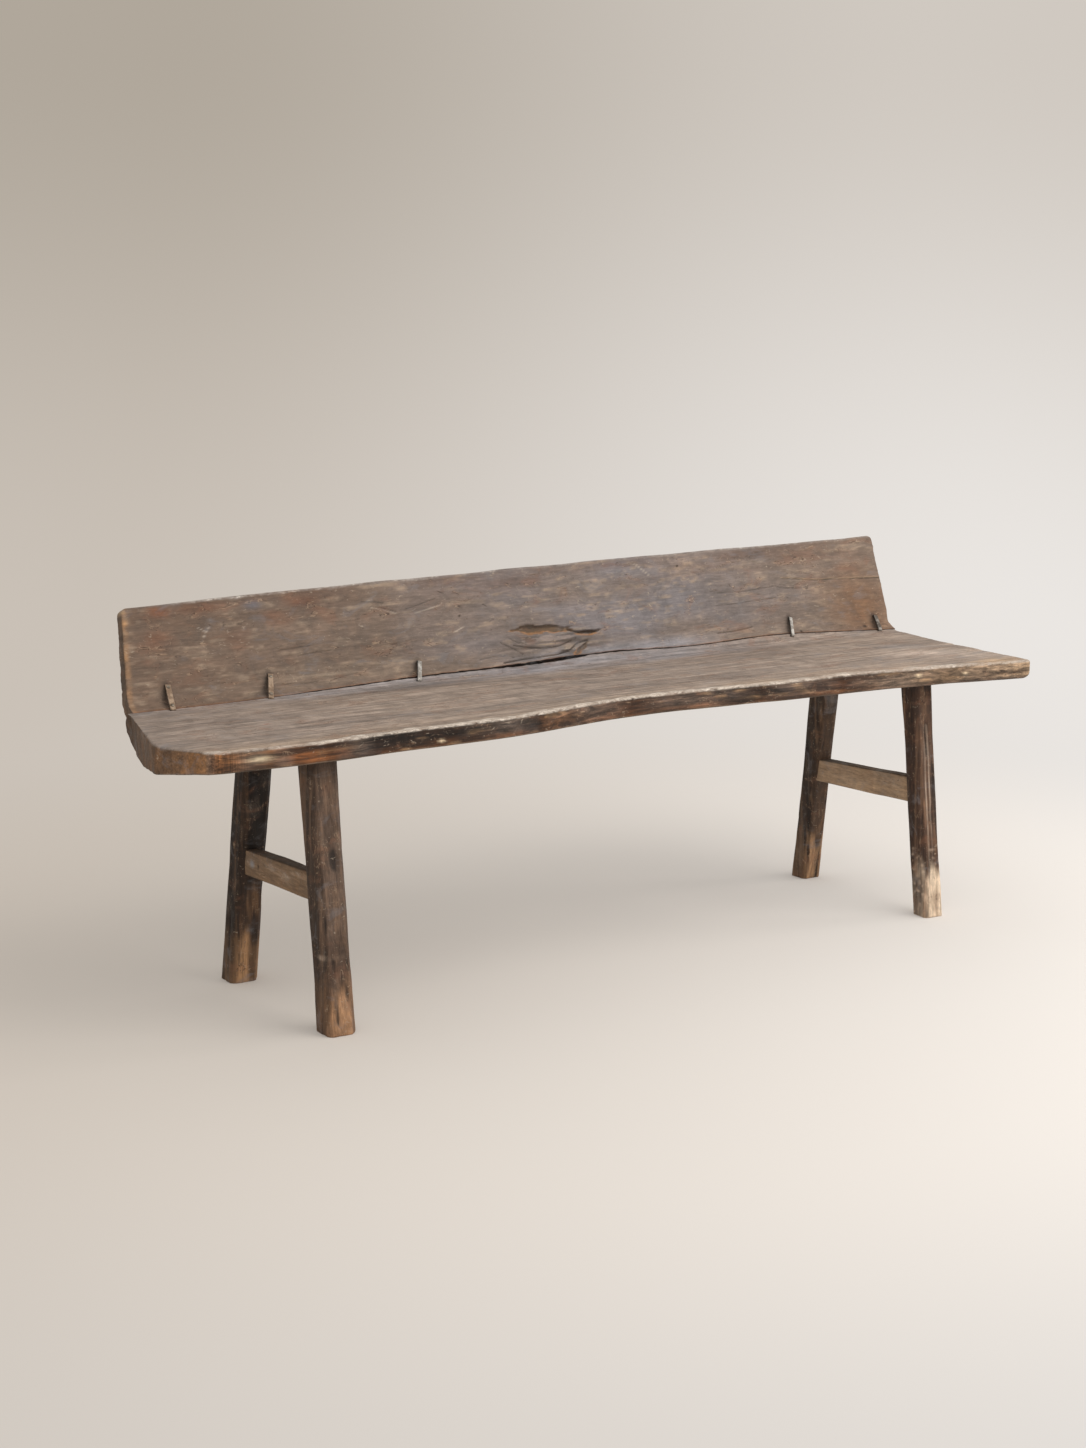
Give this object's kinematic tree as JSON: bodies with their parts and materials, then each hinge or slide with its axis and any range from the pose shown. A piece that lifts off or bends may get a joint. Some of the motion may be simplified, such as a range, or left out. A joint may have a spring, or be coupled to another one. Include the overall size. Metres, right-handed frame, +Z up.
{
  "type": "monks bench",
  "caption": "Low rustic bench hewn from one log: a thick seat that runs up into a low leaning back, square splayed legs, side stretchers, and iron straps and cramps over a crack.",
  "frame": {"origin": "centre of the whole bench's footprint box, on the floor", "axes": "+X along the bench, to the right of a person who looks at its front, +Y to the rear, towards the leaning back, +Z up"},
  "size_m": [1.542, 0.463, 0.6025],
  "materials": {
    "seat_wood": "worn, weathered grey-brown long grain, waxed by use",
    "back_wood": "weathered grey-brown, scratched and patched with old brown finish",
    "leg_wood": "dark brown hewn wood with paler worn feet",
    "stretcher_wood": "sawn brown wood, greyed on top",
    "strap_iron": "flat strap iron under a dull pale brown oxide",
    "cramp_iron": "dark forged iron rubbed bare along its ridges",
    "nail_iron": "dark forged iron"
  },
  "bodies": {
    "root": {"seat_plank": "seat_wood", "back_plank": "back_wood", "leg_front_left": "leg_wood", "leg_rear_left": "leg_wood", "leg_front_right": "leg_wood", "leg_rear_right": "leg_wood", "stretcher_left": "stretcher_wood", "stretcher_right": "stretcher_wood", "strap_outer_left": "strap_iron", "strap_inner_left": "strap_iron", "strap_nails": "nail_iron", "cramp_centre": "cramp_iron", "cramp_inner_right": "cramp_iron", "cramp_outer_right": "cramp_iron"}
  },
  "joints": []
}
